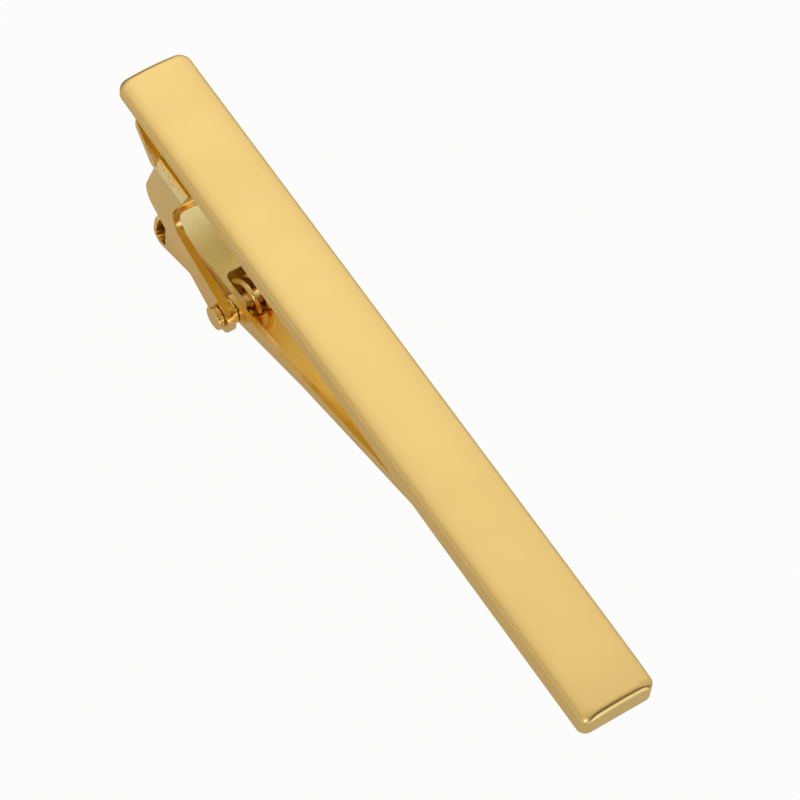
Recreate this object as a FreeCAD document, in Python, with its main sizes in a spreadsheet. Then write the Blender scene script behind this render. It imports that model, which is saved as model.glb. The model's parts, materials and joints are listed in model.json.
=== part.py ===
import FreeCAD, Part

import math
import os
import re

import Sketcher

# A spring tie clip: a solid bar with a hinged clamp arm behind it.
# X runs along the bar towards the gripping end, Y across it and Z towards its front.
# The origin lies behind the bar's middle, level with its flat back at the gripping end.
# Sizes are in millimetres and degrees.

doc = FreeCAD.newDocument("tie_clip")
sheet = doc.addObject("Spreadsheet::Sheet", "Sizes")

ALONG_X = FreeCAD.Vector(1, 0, 0)
ALONG_Y = FreeCAD.Vector(0, 1, 0)
ALONG_Z = FreeCAD.Vector(0, 0, 1)
TINY = 1e-6
EDGE_REACH = 0.02
GAP_STEPS = 240

SIZES = {
    # the bar
    "bar_length": 60.0,
    "bar_width": 5.9,
    "bar_thick": 2.4,
    "bar_crown": 0.3,
    "bar_far_corner": 0.85,
    "bar_near_corner": 0.7,
    "bar_edge": 0.5,
    "bar_back_edge": 0.15,
    "flat_back": 18.0,
    "taper_rise": 1.1,
    # the pivot, measured from the bar's far end and behind its back
    "pivot_inset": 14.7,
    "pivot_depth": 9.35,
    "pin_radius": 0.65,
    "head_radius": 0.95,
    "head_step": 0.24,
    "head_ring": 0.15,
    "head_gap": 0.08,
    "running_gap": 0.05,
    "seat_gap": 0.01,
    # the hinge bracket, insets measured from the bar's far end
    "bracket_sheet": 0.6,
    "bracket_bend": 0.8,
    "foot_inset": 1.0,
    "foot_width": 4.4,
    "slope_inset": 2.8,
    "web_back_inset": 5.2,
    "web_front_inset": 9.2,
    "web_depth": 1.3,
    "ear_back_inset": 4.0,
    "ear_back_round": 1.6,
    "ear_notch_inset": 7.4,
    "ear_notch_round": 1.8,
    "ear_round": 1.4,
    "ear_upper_angle": 15.5,
    "ear_lower_angle": 22.5,
    # the clamp arm, reaches measured from the pivot
    "arm_sheet": 0.4,
    "arm_width": 3.7,
    "arm_angle": 19.6,
    "arm_below_pin": 0.92,
    "lip_reach": 11.1,
    "lip_drop": 1.55,
    "lip_lean": 0.35,
    "lip_round": 0.9,
    "lip_corner": 0.8,
    "bend_reach": 9.3,
    "tip_reach": 30.9,
    "tip_round": 0.4,
    "tip_gap": 0.18,
    "flange_reach": 9.3,
    "flange_lever_drop": 0.2,
    "flange_at_pin": 1.8,
    "flange_at_bend": 1.05,
    "flange_at_tip": 0.62,
    "dish_sheet": 0.2,
    # the lever plate nested in the arm, reaches measured from the pivot
    "plate_sheet": 0.3,
    "plate_reach": 9.0,
    "plate_end_round": 1.1,
    "plate_angle": 5.2,
    "slot_reach": 2.45,
    "slot_near_rim": 0.14,
    "slot_far_rim": 0.04,
    "slot_round": 0.5,
    "slot_gap": 0.02,
    # the torsion spring, reaches measured from the pivot
    "wire": 0.4,
    "coil_radius": 1.4,
    "coil_turns": 2.0,
    "leg_end_reach": 3.0,
    "leg_rest_reach": 3.5,
    "leg_bend": 0.7,
    "leg_end": 0.8,
}

# Places worked out from the sizes: distances behind the bar's middle, ahead of it, or below its flat back
PLACES = {
    "taper_front": "bar_length / 2 - flat_back",
    "pivot_back": "bar_length / 2 - pivot_inset",
    "foot_end": "bar_length / 2 - foot_inset",
    "slope_end": "bar_length / 2 - slope_inset",
    "web_back": "bar_length / 2 - web_back_inset",
    "web_front": "bar_length / 2 - web_front_inset",
    "ear_back": "bar_length / 2 - ear_back_inset",
    "ear_notch": "bar_length / 2 - ear_notch_inset",
    "lip_back": "pivot_back + lip_reach",
    "lip_depth": "pivot_depth + lip_drop",
    "flange_back": "pivot_back + flange_reach",
    "arm_bend_back": "pivot_back - bend_reach",
    "tip_front": "tip_reach - pivot_back",
    "plate_back": "pivot_back + plate_reach",
    "slot_back": "pivot_back + slot_reach",
    "leg_end_back": "pivot_back + leg_end_reach",
    "leg_rest_back": "pivot_back + leg_rest_reach",
}


def fill_sheet():
    for row, (name, number) in enumerate(SIZES.items(), 1):
        sheet.set(f"A{row}", name)
        sheet.set(f"B{row}", str(number))
        sheet.setAlias(f"B{row}", name)
    doc.recompute()


def bound(expression):
    """The expression with every place written out and every size name pointing into the sheet."""
    return re.sub(r"[a-z]+(?:_[a-z]+)+|\bwire\b", written_out, expression)


def written_out(found):
    name = found.group(0)
    return f"({bound(PLACES[name])})" if name in PLACES else "Sizes." + name


def value(expression):
    return float(sheet.evalExpression(bound(expression)))


def bind(thing, **properties):
    for name, expression in properties.items():
        thing.setExpression(name.replace("__", "."), bound(expression))


# Coordinates and slopes that several pieces share
ZERO = "0"
BELOW_ALL = "(-2 * pivot_depth)"
PIN_X = "(-pivot_back)"
PIN_Z = "(-pivot_depth)"
HALF_BRACKET = "(bar_width / 2)"
EAR_INSIDE = "(bar_width / 2 - bracket_sheet)"
HALF_ARM = "(arm_width / 2)"
ARM_INSIDE = "(arm_width / 2 - arm_sheet)"
HALF_PLATE = f"({ARM_INSIDE} - seat_gap)"
ARM_RISE = "tan(arm_angle * 1 deg)"
ARM_UPRIGHT = "(arm_sheet / cos(arm_angle * 1 deg))"
BEND_Z = f"({PIN_Z} - arm_below_pin + {ARM_RISE} * bend_reach)"
FLANGE_FRONT = "(tip_front - tip_round)"
JAW_RISE = f"((-tip_gap - flange_at_tip - {BEND_Z}) / ({FLANGE_FRONT} + arm_bend_back))"
JAW_UPRIGHT = f"(arm_sheet / cos(atan({JAW_RISE})))"
SLOT_NEAR = f"(slot_near_rim + plate_sheet - {HALF_PLATE})"
SLOT_FAR = f"({HALF_PLATE} - plate_sheet - slot_far_rim)"
SLOT_MIDDLE = f"(({SLOT_NEAR} + {SLOT_FAR}) / 2)"
COIL_PITCH = f"(({SLOT_FAR} - {SLOT_NEAR} - wire - 2 * slot_gap) / coil_turns)"
COIL_LIFT = "(coil_radius - wire / 2 - pin_radius - running_gap)"
COIL_ROOM = "(coil_radius + wire / 2 + running_gap)"
PLATE_RISE = "tan(plate_angle * 1 deg)"
PLATE_TOP = f"({PIN_Z} + pin_radius + plate_sheet)"


def back_at(back):
    """Height of the bar's tapered back at a place behind its middle."""
    return f"(taper_rise * ({back} + taper_front) / (bar_length / 2 + taper_front))"


def arm_under(back):
    """Height of the arm's outer face at a place behind the bend."""
    return f"({PIN_Z} - arm_below_pin + {ARM_RISE} * (pivot_back - {back}))"


def jaw_under(front):
    """Height of the arm's outer face at a place ahead of the bend."""
    return f"({BEND_Z} + {JAW_RISE} * ({front} + arm_bend_back))"


def plate_top(back):
    return f"({PLATE_TOP} + {PLATE_RISE} * (pivot_back - {back}))"


def new_body(name):
    body = doc.addObject("PartDesign::Body", name)
    body.Label = name
    return body


def new_sketch(body, name, role):
    sketch = body.newObject("Sketcher::SketchObject", name)
    plane = [item for item in body.Origin.OriginFeatures if item.Role == role][0]
    sketch.AttachmentSupport = [(plane, "")]
    sketch.MapMode = "FlatFace"
    return sketch


def place(sketch, line, end, corner):
    """Ties one end of a sketch line to a point given by two expressions."""
    for kind, expression in zip(("DistanceX", "DistanceY"), corner):
        row = sketch.addConstraint(Sketcher.Constraint(kind, -1, 1, line, end, value(expression)))
        sketch.setExpression(f"Constraints[{row}]", bound(expression))


def polygon(sketch, corners):
    """Closed outline whose every corner is bound to the sheet."""
    points = [FreeCAD.Vector(value(x), value(y), 0) for x, y in corners]
    lines = []
    for start, end in zip(points, points[1:] + points[:1]):
        lines.append(sketch.addGeometry(Part.LineSegment(start, end)))
    for line, following in zip(lines, lines[1:] + lines[:1]):
        sketch.addConstraint(Sketcher.Constraint("Coincident", line, 2, following, 1))
    for line, corner in zip(lines, corners):
        place(sketch, line, 1, corner)


def circle(sketch, centre, radius):
    middle = FreeCAD.Vector(value(centre[0]), value(centre[1]), 0)
    ring = sketch.addGeometry(Part.Circle(middle, FreeCAD.Vector(0, 0, 1), value(radius)))
    place(sketch, ring, 3, centre)
    row = sketch.addConstraint(Sketcher.Constraint("Radius", ring, value(radius)))
    sketch.setExpression(f"Constraints[{row}]", bound(radius))


def pad(body, sketch, name, length, midplane=True):
    feature = body.newObject("PartDesign::Pad", name)
    feature.Profile = sketch
    feature.Midplane = midplane
    bind(feature, Length=length)
    sketch.Visibility = False
    doc.recompute()
    return feature


def pad_both_sides(body, sketch, name, inside, sheet_size):
    """Sheet wall standing at a distance from the middle plane, and its mirror image."""
    sketch.setExpression("AttachmentOffset.Base.z", bound(inside))
    wall = pad(body, sketch, f"{name}_pad", sheet_size, midplane=False)
    mirror = body.newObject("PartDesign::Mirrored", f"{name}_mirror")
    mirror.Originals = [wall]
    plane = [item for item in body.Origin.OriginFeatures if item.Role == "XZ_Plane"][0]
    mirror.MirrorPlane = (plane, [""])
    body.Tip = mirror
    doc.recompute()


def pocket(body, sketch, name, length=None):
    """Cuts the outline both ways, right through or to a length, and checks that it removed something."""
    before = body.Shape.Volume
    feature = body.newObject("PartDesign::Pocket", name)
    feature.Profile = sketch
    feature.Midplane = True
    if length:
        bind(feature, Length=length)
    else:
        feature.Type = "ThroughAll"
    doc.recompute()
    if not body.Shape.Volume < before - TINY:
        raise RuntimeError(f"{name} removed nothing")


def fillet(body, name, radius, choose):
    """Rounds the edges that choose() picks from the body's present shape."""
    base = body.Tip
    names = [f"Edge{i}" for i, edge in enumerate(base.Shape.Edges, 1) if choose(edge)]
    if not names:
        raise RuntimeError(f"{name} found no edges")
    feature = body.newObject("PartDesign::Fillet", name)
    feature.Base = (base, names)
    bind(feature, Radius=radius)
    doc.recompute()
    if not feature.isValid():
        raise RuntimeError(f"{name} failed on {len(names)} edges")


def runs_along(edge, axis):
    step = edge.Vertexes[-1].Point - edge.Vertexes[0].Point
    return step.Length > TINY and abs(abs(step.normalize().dot(axis)) - 1) < TINY


def middle_of(edge):
    return edge.valueAt((edge.FirstParameter + edge.LastParameter) / 2)


def near(point, x=None, z=None):
    """Whether a point lies at the wanted place, within the reach of the edge search."""
    wanted = ((point.x, x), (point.z, z))
    return all(goal is None or abs(found - goal) < EDGE_REACH for found, goal in wanted)


def make_bar():
    """Crowned section run along the bar, its back tapered, then its corners and edges rounded."""
    body = new_body("bar")
    sketch = new_sketch(body, "bar_section", "YZ_Plane")
    half, side = "(bar_width / 2)", "(bar_thick - bar_crown)"
    left = FreeCAD.Vector(-value(half), value(side), 0)
    right = FreeCAD.Vector(value(half), value(side), 0)
    low_left = FreeCAD.Vector(left.x, 0, 0)
    low_right = FreeCAD.Vector(right.x, 0, 0)
    radius = "((bar_width^2 / 4 + bar_crown^2) / (2 * bar_crown))"
    centre = FreeCAD.Vector(0, value(f"bar_thick - {radius}"), 0)
    span = [math.atan2(end.y - centre.y, end.x - centre.x) for end in (right, left)]
    ring = Part.Circle(centre, ALONG_Z, value(radius))
    crown = sketch.addGeometry(Part.ArcOfCircle(ring, *span))
    down = sketch.addGeometry(Part.LineSegment(left, low_left))
    back = sketch.addGeometry(Part.LineSegment(low_left, low_right))
    up = sketch.addGeometry(Part.LineSegment(low_right, right))
    chain = [(crown, 2, down, 1), (down, 2, back, 1), (back, 2, up, 1), (up, 2, crown, 1)]
    for link in chain:
        sketch.addConstraint(Sketcher.Constraint("Coincident", *link))
    place(sketch, down, 1, (f"-{half}", side))
    place(sketch, back, 1, (f"-{half}", ZERO))
    place(sketch, up, 1, (half, ZERO))
    place(sketch, up, 2, (half, side))
    row = sketch.addConstraint(Sketcher.Constraint("Radius", crown, value(radius)))
    sketch.setExpression(f"Constraints[{row}]", bound(radius))
    pad(body, sketch, "bar_pad", "bar_length")
    taper = new_sketch(body, "back_taper", "XZ_Plane")
    polygon(taper, [
        ("taper_front", ZERO),
        ("-bar_length", back_at("bar_length")),
        ("-bar_length", "-bar_thick"),
        ("taper_front", "-bar_thick"),
    ])
    pocket(body, taper, "back_taper_cut")
    fillet(body, "bar_far_corners", "bar_far_corner",
           lambda edge: runs_along(edge, ALONG_Z) and middle_of(edge).x < 0)
    fillet(body, "bar_near_corners", "bar_near_corner",
           lambda edge: runs_along(edge, ALONG_Z) and near(middle_of(edge), x=value("bar_length / 2")))
    fillet(body, "bar_edges", "bar_edge", lambda edge: middle_of(edge).z > value(side) - EDGE_REACH)
    fillet(body, "bar_back_edges", "bar_back_edge", on_back_rim)


def on_back_rim(edge):
    """Whether an edge runs around the bar's back, and isn't the faint line where its taper starts."""
    start = value("taper_front")
    slope = value("taper_rise") / (value("bar_length / 2") + start)
    points = [vertex.Point for vertex in edge.Vertexes] + [middle_of(edge)]
    low = all(point.z < max(0, slope * (start - point.x)) + EDGE_REACH for point in points)
    return low and not near(middle_of(edge), x=start)


def make_bracket():
    """Soldered foot, sloping strip and web, with an ear folded down at each side."""
    body = new_body("hinge_bracket")
    top, end = back_at("slope_end"), back_at("foot_end")
    slope = f"atan((web_depth + {top}) / (slope_end - web_back))"
    upright = f"(bracket_sheet / cos({slope}))"
    strip = new_sketch(body, "strip_profile", "XZ_Plane")
    polygon(strip, [
        ("-slope_end", top),
        ("-web_back", "-web_depth"),
        ("-web_front", "-web_depth"),
        ("-web_front", "-web_depth - bracket_sheet"),
        (f"-web_back - bracket_sheet * tan({slope} / 2)", "-web_depth - bracket_sheet"),
        ("-slope_end", f"{top} - {upright}"),
    ])
    pad(body, strip, "strip_pad", "bar_width")
    foot = new_sketch(body, "foot_profile", "XZ_Plane")
    polygon(foot, [
        ("-foot_end", end),
        ("-slope_end", top),
        ("-slope_end", f"{top} - bracket_sheet"),
        ("-foot_end", f"{end} - bracket_sheet"),
    ])
    pad(body, foot, "foot_pad", "foot_width")
    upper, lower = "(ear_upper_angle * 1 deg)", "(ear_lower_angle * 1 deg)"
    ear = new_sketch(body, "ear_outline", "XZ_Plane")
    polygon(ear, [
        ("-web_back + bracket_sheet / 2", "-web_depth - bracket_sheet / 2"),
        ("-ear_back", f"{PIN_Z} - ear_round / cos({lower}) + tan({lower}) * (ear_back - pivot_back)"),
        (f"{PIN_X} - ear_round * sin({lower})", f"{PIN_Z} - ear_round * cos({lower})"),
        (f"{PIN_X} + ear_round * sin({upper})", f"{PIN_Z} + ear_round * cos({upper})"),
        ("-ear_notch", f"{PIN_Z} + ear_round / cos({upper}) + tan({upper}) * (ear_notch - pivot_back)"),
        ("-web_front", "-web_depth - bracket_sheet / 2"),
    ])
    pad(body, ear, "ear_pad", "bar_width")
    ear_end = new_sketch(body, "ear_end", "XZ_Plane")
    circle(ear_end, (PIN_X, PIN_Z), "ear_round")
    pad(body, ear_end, "ear_end_pad", "bar_width")
    hollow = new_sketch(body, "between_ears", "YZ_Plane")
    polygon(hollow, [
        (f"-{EAR_INSIDE}", "-web_depth - bracket_sheet"),
        (EAR_INSIDE, "-web_depth - bracket_sheet"),
        (EAR_INSIDE, BELOW_ALL),
        (f"-{EAR_INSIDE}", BELOW_ALL),
    ])
    pocket(body, hollow, "between_ears_cut")
    bore = new_sketch(body, "ear_bore", "XZ_Plane")
    circle(bore, (PIN_X, PIN_Z), "pin_radius + seat_gap")
    pocket(body, bore, "ear_bore_cut")
    notch_z = value(f"{PIN_Z} + ear_round / cos({upper}) + tan({upper}) * (ear_notch - pivot_back)")
    back_z = value(f"{PIN_Z} - ear_round / cos({lower}) + tan({lower}) * (ear_back - pivot_back)")
    fillet(body, "ear_notches", "ear_notch_round",
           lambda edge: runs_along(edge, ALONG_Y) and near(middle_of(edge), x=-value("ear_notch"), z=notch_z))
    fillet(body, "ear_back_corners", "ear_back_round",
           lambda edge: runs_along(edge, ALONG_Y) and near(middle_of(edge), x=-value("ear_back"), z=back_z))
    fillet(body, "web_bends", "bracket_bend",
           lambda edge: abs(middle_of(edge).y) > value(HALF_BRACKET) - EDGE_REACH
           and near(middle_of(edge), z=-value("web_depth")) and runs_along(edge, ALONG_X))


def make_arm():
    """Channel from the thumb lip to the tip: web on the outer side, flanges towards the bar."""
    body = new_body("clamp_arm")
    web = new_sketch(body, "arm_web_profile", "XZ_Plane")
    lip_foot = "(lip_back - arm_sheet)"
    polygon(web, [
        ("-lip_back", arm_under("lip_back")),
        ("-arm_bend_back", BEND_Z),
        ("tip_front", jaw_under("tip_front")),
        ("tip_front", f"{jaw_under('tip_front')} + {JAW_UPRIGHT}"),
        ("-arm_bend_back", f"{BEND_Z} + {ARM_UPRIGHT}"),
        (f"-{lip_foot}", f"{arm_under(lip_foot)} + {ARM_UPRIGHT}"),
        (f"-{lip_foot} + lip_lean", "-lip_depth"),
        ("-lip_back + lip_lean", "-lip_depth"),
    ])
    pad(body, web, "arm_web_pad", "arm_width")
    fillet(body, "lip_heel", "lip_round",
           lambda edge: runs_along(edge, ALONG_Y) and near(middle_of(edge), x=-value("lip_back")))
    fillet(body, "lip_inner_heel", "lip_round - arm_sheet",
           lambda edge: runs_along(edge, ALONG_Y) and near(middle_of(edge), x=-value(lip_foot)))
    lip_end = -value("lip_depth")
    fillet(body, "lip_corners", "lip_corner",
           lambda edge: runs_along(edge, ALONG_X) and near(middle_of(edge), z=lip_end))
    fillet(body, "tip_corners", "tip_round",
           lambda edge: runs_along(edge, ALONG_Z) and near(middle_of(edge), x=value("tip_front")))
    make_coil_dish(body)
    side = new_sketch(body, "arm_side_outline", "XZ_Plane")
    shoulder = "(pivot_back + pin_radius)"
    lever_top = f"({PIN_Z} - flange_lever_drop)"
    polygon(side, [
        ("-flange_back", f"{arm_under('flange_back')} + {ARM_UPRIGHT} / 2"),
        ("-arm_bend_back", f"{BEND_Z} + {ARM_UPRIGHT} / 2"),
        (FLANGE_FRONT, f"{jaw_under(FLANGE_FRONT)} + {JAW_UPRIGHT} / 2"),
        (FLANGE_FRONT, f"{jaw_under(FLANGE_FRONT)} + flange_at_tip"),
        ("-arm_bend_back", f"{BEND_Z} + flange_at_bend"),
        (f"-{shoulder}", f"{arm_under('pivot_back')} + flange_at_pin"),
        (f"-{shoulder} - 2 * arm_sheet", lever_top),
        ("-flange_back", lever_top),
    ])
    pad_both_sides(body, side, "arm_side", ARM_INSIDE, "arm_sheet")
    bore = new_sketch(body, "arm_bore", "XZ_Plane")
    circle(bore, (PIN_X, PIN_Z), "pin_radius + running_gap")
    pocket(body, bore, "arm_bore_cut")
    hollow = new_sketch(body, "coil_hollow", "XZ_Plane")
    circle(hollow, (PIN_X, PIN_Z), COIL_ROOM)
    pocket(body, hollow, "coil_hollow_cut", f"2 * {SLOT_FAR}")


def make_coil_dish(body):
    """Round dish pressed out of the arm's web, deep enough for the coil."""
    outer = f"({COIL_ROOM} + dish_sheet)"
    dish = new_sketch(body, "coil_dish", "XZ_Plane")
    circle(dish, (PIN_X, PIN_Z), outer)
    pad(body, dish, "coil_dish_pad", f"2 * ({SLOT_FAR} + dish_sheet)")
    back, front = f"(pivot_back + {outer})", f"(pivot_back - {outer})"
    above = new_sketch(body, "above_dish", "XZ_Plane")
    polygon(above, [
        (f"-{back}", f"{arm_under(back)} + {ARM_UPRIGHT}"),
        (f"-{front}", f"{arm_under(front)} + {ARM_UPRIGHT}"),
        (f"-{front}", f"{PIN_Z} + 2 * {outer}"),
        (f"-{back}", f"{PIN_Z} + 2 * {outer}"),
    ])
    pocket(body, above, "above_dish_cut", "arm_width")


def make_lever_plate():
    """Inverted channel seated between the arm's flanges, its top slotted for the coil."""
    body = new_body("lever_plate")
    nose = "(pivot_back - pin_radius - plate_sheet)"
    seat = f"({ARM_UPRIGHT} + seat_gap)"
    outline = new_sketch(body, "plate_outline", "XZ_Plane")
    polygon(outline, [
        ("-plate_back", f"{arm_under('plate_back')} + {seat}"),
        (f"-{nose}", f"{arm_under(nose)} + {seat}"),
        (f"-{nose}", f"{PIN_Z} + pin_radius"),
        (PIN_X, PLATE_TOP),
        ("-plate_back", plate_top("plate_back")),
    ])
    pad(body, outline, "plate_pad", f"2 * {HALF_PLATE}")
    fillet(body, "plate_end_corners", "plate_end_round",
           lambda edge: runs_along(edge, ALONG_Z) and near(middle_of(edge), x=-value("plate_back")))
    under = new_sketch(body, "plate_under", "XZ_Plane")
    polygon(under, [
        ("-plate_back", BELOW_ALL),
        (f"-{nose}", BELOW_ALL),
        (f"-{nose}", f"{plate_top(nose)} - plate_sheet"),
        ("-plate_back", f"{plate_top('plate_back')} - plate_sheet"),
    ])
    pocket(body, under, "plate_under_cut", f"2 * ({HALF_PLATE} - plate_sheet)")
    bore = new_sketch(body, "plate_bore", "XZ_Plane")
    circle(bore, (PIN_X, PIN_Z), "pin_radius + running_gap")
    pocket(body, bore, "plate_bore_cut")
    slot = new_sketch(body, "coil_slot", "XY_Plane")
    polygon(slot, [
        ("-slot_back", SLOT_NEAR),
        (f"-{nose} + plate_sheet", SLOT_NEAR),
        (f"-{nose} + plate_sheet", SLOT_FAR),
        ("-slot_back", SLOT_FAR),
    ])
    pocket(body, slot, "coil_slot_cut")
    fillet(body, "slot_corners", "slot_round",
           lambda edge: near(middle_of(edge), x=-value("slot_back")) and runs_along(edge, ALONG_Z))


def make_pin():
    """Rivet turned about the pivot axis, with a stepped head beyond each ear."""
    body = new_body("pivot_pin")
    outer = f"({HALF_BRACKET} + head_gap + head_ring + head_gap + head_step)"
    profile = new_sketch(body, "pin_profile", "XY_Plane")
    steps = [
        ("head_radius", outer),
        ("head_radius", f"{outer} - head_step"),
        ("head_radius - 2 * head_gap", f"{outer} - head_step"),
        ("head_radius - 2 * head_gap", f"{outer} - head_step - head_gap"),
        ("head_radius - head_gap / 2", f"{outer} - head_step - head_gap"),
        ("head_radius - head_gap / 2", f"{HALF_BRACKET} + head_gap"),
        ("pin_radius", f"{HALF_BRACKET} + head_gap"),
    ]
    far_side = [(ZERO, outer)] + steps
    near_side = [(radius, f"-({along})") for radius, along in reversed(far_side)]
    polygon(profile, far_side + near_side)
    turned = body.newObject("PartDesign::Revolution", "pin_turned")
    turned.Profile = profile
    turned.ReferenceAxis = (profile, ["V_Axis"])
    turned.Angle = 360
    doc.recompute()
    rims = value(outer)
    fillet(body, "head_rims", "head_step / 3",
           lambda edge: edge.BoundBox.YLength < TINY and abs(edge.BoundBox.YMin) > rims - TINY)
    bind(body, Placement__Base__x=PIN_X, Placement__Base__z=PIN_Z)


def make_washer(name, side):
    """Collar that keeps the arm central between the ears."""
    thickness = f"({EAR_INSIDE} - {HALF_ARM} - 2 * running_gap)"
    ring = doc.addObject("Part::Cylinder", f"{name}_ring")
    bore = doc.addObject("Part::Cylinder", f"{name}_bore")
    bind(ring, Radius="ear_round - pin_radius / 2", Height=thickness)
    bind(bore, Radius="pin_radius + seat_gap", Height=thickness)
    washer = doc.addObject("Part::Cut", name)
    washer.Base = ring
    washer.Tool = bore
    washer.Label = name
    washer.Placement.Rotation = FreeCAD.Rotation(ALONG_X, -90)
    start = f"({HALF_ARM} + running_gap)" if side > 0 else f"(-{EAR_INSIDE} + running_gap)"
    bind(washer, Placement__Base__x=PIN_X, Placement__Base__y=start, Placement__Base__z=PIN_Z)
    doc.recompute()


def spring_path():
    """Wire's middle line: end square to the bar, slanting leg, coil hung on the pin, leg on the arm's web."""
    radius, pitch = value("coil_radius"), value(COIL_PITCH)
    coil = FreeCAD.Vector(value(PIN_X), value(SLOT_MIDDLE), value(f"{PIN_Z} + {COIL_LIFT}"))
    end_height = value(f"{back_at('leg_end_back')} - running_gap")
    end_top = FreeCAD.Vector(-value("leg_end_back"), coil.y, end_height)
    corner = end_top - FreeCAD.Vector(0, 0, value("leg_end + leg_bend"))
    lift = f"{ARM_UPRIGHT} + wire / 2 / cos(arm_angle * 1 deg) + running_gap"
    rest = FreeCAD.Vector(-value("leg_rest_back"), coil.y, value(f"{arm_under('leg_rest_back')} + {lift}"))
    first = math.atan2(corner.z - coil.z, corner.x - coil.x) + math.acos(radius / (corner - coil).Length)
    last = math.atan2(rest.z - coil.z, rest.x - coil.x) - math.acos(radius / (rest - coil).Length)
    sweep = (last - first) % (2 * math.pi) + 2 * math.pi * (value("coil_turns") - 1)
    half_width = FreeCAD.Vector(0, pitch * sweep / (4 * math.pi), 0)

    def on_coil(turned):
        angle = first + turned
        across = pitch * turned / (2 * math.pi)
        return coil + half_width + FreeCAD.Vector(radius * math.cos(angle), -across, radius * math.sin(angle))

    def heading(turned):
        angle = first + turned
        return FreeCAD.Vector(-math.sin(angle) * radius, -pitch / (2 * math.pi), math.cos(angle) * radius)

    edges = bent_corner(end_top + half_width, corner + half_width, on_coil(0), value("leg_bend"))
    quarters = round(sweep / (math.pi / 2))
    stops = [sweep * index / quarters for index in range(quarters + 1)]
    headings = [heading(stop) for stop in stops]
    headings[0] = on_coil(0) - corner - half_width
    headings[-1] = rest - half_width - on_coil(sweep)
    for index in range(quarters):
        ends = [on_coil(stop) for stop in stops[index:index + 2]]
        edges += biarc(ends[0], headings[index], ends[1], headings[index + 1])
    edges.append(Part.LineSegment(on_coil(sweep), rest - half_width).toShape())
    return edges, on_coil, sweep


def bent_corner(start, corner, end, radius):
    """Straight run, tangent arc and straight run through a corner."""
    before, after = (start - corner).normalize(), (end - corner).normalize()
    half = before.getAngle(after) / 2
    cut = radius / math.tan(half)
    enter, leave = corner + before * cut, corner + after * cut
    centre = corner + (before + after).normalize() * (radius / math.sin(half))
    through = centre + (corner - centre).normalize() * radius
    return [
        Part.LineSegment(start, enter).toShape(),
        Part.Arc(enter, through, leave).toShape(),
        Part.LineSegment(leave, end).toShape(),
    ]


def biarc(start, start_heading, end, end_heading):
    """Two arcs that join two points and keep the heading at each."""
    first = FreeCAD.Vector(start_heading).normalize()
    second = FreeCAD.Vector(end_heading).normalize()
    chord = end - start
    total = first + second
    slope = 2 * (1 - first.dot(second))
    spread = chord.dot(total)
    reach = (-spread + math.sqrt(spread * spread + slope * chord.dot(chord))) / slope
    joint = (start + first * reach + end - second * reach) * 0.5
    return [arc_from(start, first, joint), arc_from(joint, (joint - start - first * reach), end)]


def arc_from(start, heading, end):
    """Arc between two points that sets out along a heading."""
    direction = FreeCAD.Vector(heading).normalize()
    chord = end - start
    sideways = chord - direction * chord.dot(direction)
    radius = chord.dot(chord) / (2 * sideways.Length)
    inward = sideways.normalize()
    centre = start + inward * radius
    half_way = (start + end) * 0.5 - centre
    return Part.Arc(start, centre + half_way.normalize() * radius, end).toShape()


def make_spring():
    edges, on_coil, sweep = spring_path()
    path = Part.Wire(edges)
    wire = value("wire")
    start = edges[0].valueAt(edges[0].FirstParameter)
    heading = edges[0].tangentAt(edges[0].FirstParameter)
    section = Part.Wire(Part.Circle(start, heading, wire / 2).toShape())
    tube = path.makePipeShell([section], True, False)
    spring = doc.addObject("Part::Feature", "torsion_spring")
    spring.Label = "torsion_spring"
    spring.Shape = tube if tube.ShapeType == "Solid" else Part.Solid(tube)
    expected = math.pi * wire * wire / 4 * path.Length
    print("spring volume against section times length", round(spring.Shape.Volume / expected, 4))
    radii = [edge.Curve.Radius for edge in edges if hasattr(edge.Curve, "Radius")]
    print("spring tightest radius", round(min(radii), 3))
    points = [on_coil(sweep * step / GAP_STEPS) for step in range(GAP_STEPS + 1)]
    half_turn = int(GAP_STEPS * math.pi / sweep)
    gap = min((one - two).Length for index, one in enumerate(points) for two in points[index + half_turn:])
    print("spring least gap to itself", round(gap - wire, 3), "mm")


def check_document():
    for item in doc.Objects:
        if "Invalid" in item.State or "Error" in item.State:
            raise RuntimeError(f"{item.Name} failed: {item.State}")


def write_parts(names):
    os.makedirs("parts", exist_ok=True)
    shapes = {item.Label: item.Shape for item in doc.Objects if item.Label in names}
    for name in names:
        shape = shapes[name]
        if shape.isNull() or not shape.isValid() or len(shape.Solids) != 1:
            raise RuntimeError(f"{name} is not one sound solid")
    for name in names:
        shapes[name].exportStep(f"parts/{name}.step")
        print(name, "volume", round(shapes[name].Volume, 2))


fill_sheet()
make_bar()
make_bracket()
make_arm()
make_lever_plate()
make_pin()
make_washer("spacer_washer_near", -1)
make_washer("spacer_washer_far", 1)
make_spring()
doc.recompute()
check_document()
write_parts([
    "bar",
    "hinge_bracket",
    "clamp_arm",
    "lever_plate",
    "pivot_pin",
    "spacer_washer_near",
    "spacer_washer_far",
    "torsion_spring",
])
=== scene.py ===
"""Looks of the tie clip, laid out as a Blender add-on and run as a script.

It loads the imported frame, replaces every CAD node with a finer piece of the same shape,
gives each piece its gold finish, and sets up the floor, the light and the camera.
"""

import json
import math

import bmesh
import bpy
from bpy.props import FloatProperty, FloatVectorProperty, IntProperty, PointerProperty
from bpy.types import Operator, Panel, PropertyGroup
from mathutils import Matrix, Vector


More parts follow.
